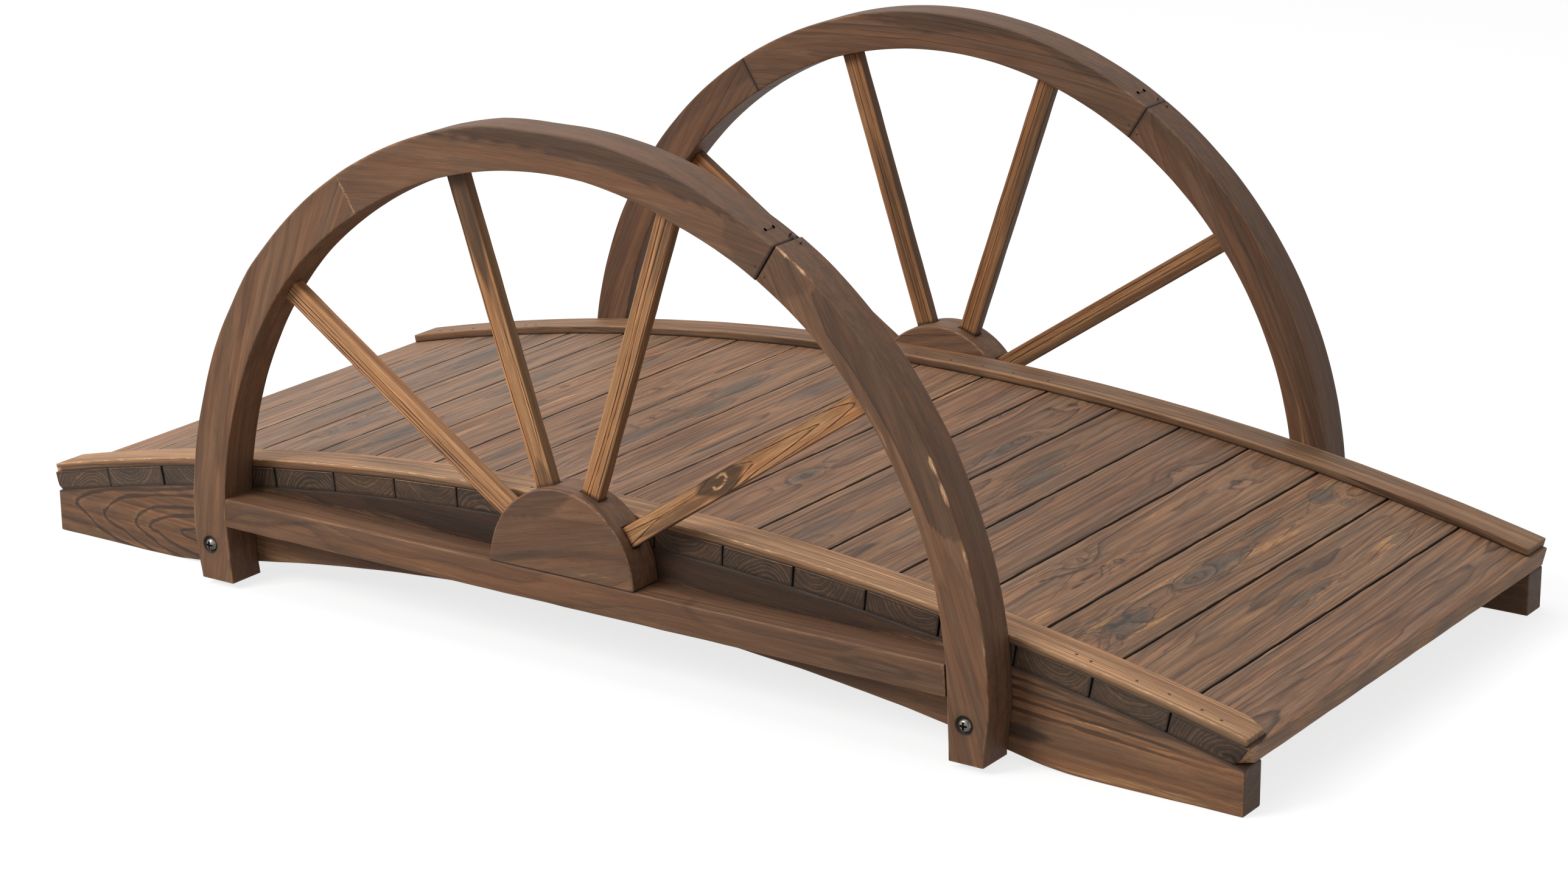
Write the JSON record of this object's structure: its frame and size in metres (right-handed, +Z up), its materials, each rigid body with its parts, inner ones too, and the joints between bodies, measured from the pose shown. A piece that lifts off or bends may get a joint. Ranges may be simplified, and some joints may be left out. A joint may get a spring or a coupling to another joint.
{
  "type": "wooden garden bridge",
  "caption": "Small arched garden bridge of scorched fir planks on two stringers, with a spoked half wheel along each side as a rail.",
  "frame": {"origin": "on the ground under the middle of the deck, centre of the footprint", "axes": "+X along the bridge, +Y across it to the far side, +Z up"},
  "size_m": [0.997, 0.5052, 0.3683],
  "materials": {
    "plank_wood": "scorched and brushed fir, brown with grey-blue patches",
    "stringer_wood": "scorched fir, darker",
    "strip_wood": "scorched fir, honey brown",
    "wheel_wood": "scorched fir, even brown",
    "spoke_wood": "scorched fir with fine light and dark stripes",
    "bolt_steel": "worn bright steel"
  },
  "bodies": {
    "root": {"stringer_near": "stringer_wood", "stringer_far": "stringer_wood", "plank_01": "plank_wood", "plank_02": "plank_wood", "plank_03": "plank_wood", "plank_04": "plank_wood", "plank_05": "plank_wood", "plank_06": "plank_wood", "plank_07": "plank_wood", "plank_08": "plank_wood", "plank_09": "plank_wood", "plank_10": "plank_wood", "plank_11": "plank_wood", "plank_12": "plank_wood", "plank_13": "plank_wood", "plank_14": "plank_wood", "plank_15": "plank_wood", "plank_16": "plank_wood", "plank_17": "plank_wood", "plank_18": "plank_wood", "edge_strip_near": "strip_wood", "edge_strip_far": "strip_wood", "rim_left_near": "wheel_wood", "rim_top_near": "wheel_wood", "rim_right_near": "wheel_wood", "rail_near": "wheel_wood", "hub_near": "wheel_wood", "bolts_near": "bolt_steel", "rim_left_far": "wheel_wood", "rim_top_far": "wheel_wood", "rim_right_far": "wheel_wood", "rail_far": "wheel_wood", "hub_far": "wheel_wood", "bolts_far": "bolt_steel", "spoke_near_1": "spoke_wood", "spoke_near_2": "spoke_wood", "spoke_near_3": "spoke_wood", "spoke_near_4": "spoke_wood", "spoke_far_1": "spoke_wood", "spoke_far_2": "spoke_wood", "spoke_far_3": "spoke_wood", "spoke_far_4": "spoke_wood"}
  },
  "joints": []
}
